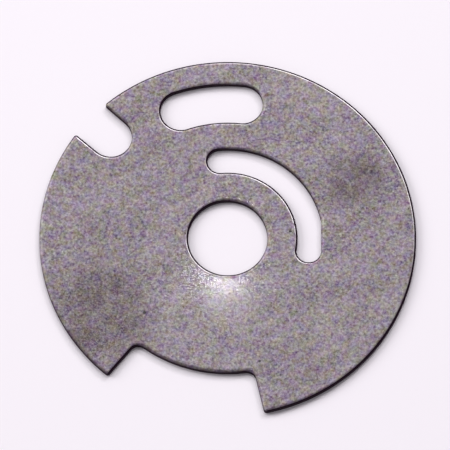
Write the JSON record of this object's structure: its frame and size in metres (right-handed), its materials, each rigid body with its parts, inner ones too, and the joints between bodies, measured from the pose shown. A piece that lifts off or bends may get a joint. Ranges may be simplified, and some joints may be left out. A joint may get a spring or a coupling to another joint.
{
  "type": "restrictor washer",
  "caption": "Flat stamped steel disc with a central bore, curved slots and rim notches, which restricts flow through the stack it is clamped in.",
  "frame": {"origin": "on the axis of the central bore, at the lower face", "axes": "+Z along the bore, out of the upper face; +Y towards the wide slot, 7 degrees off its middle; +X towards the straight end of the narrow slot"},
  "size_m": [0.0602, 0.0596, 0.001],
  "materials": {
    "bare_steel": "matt tumbled, with a faint grain and light brown stains"
  },
  "bodies": {
    "root": {"washer": "bare_steel"}
  },
  "joints": []
}
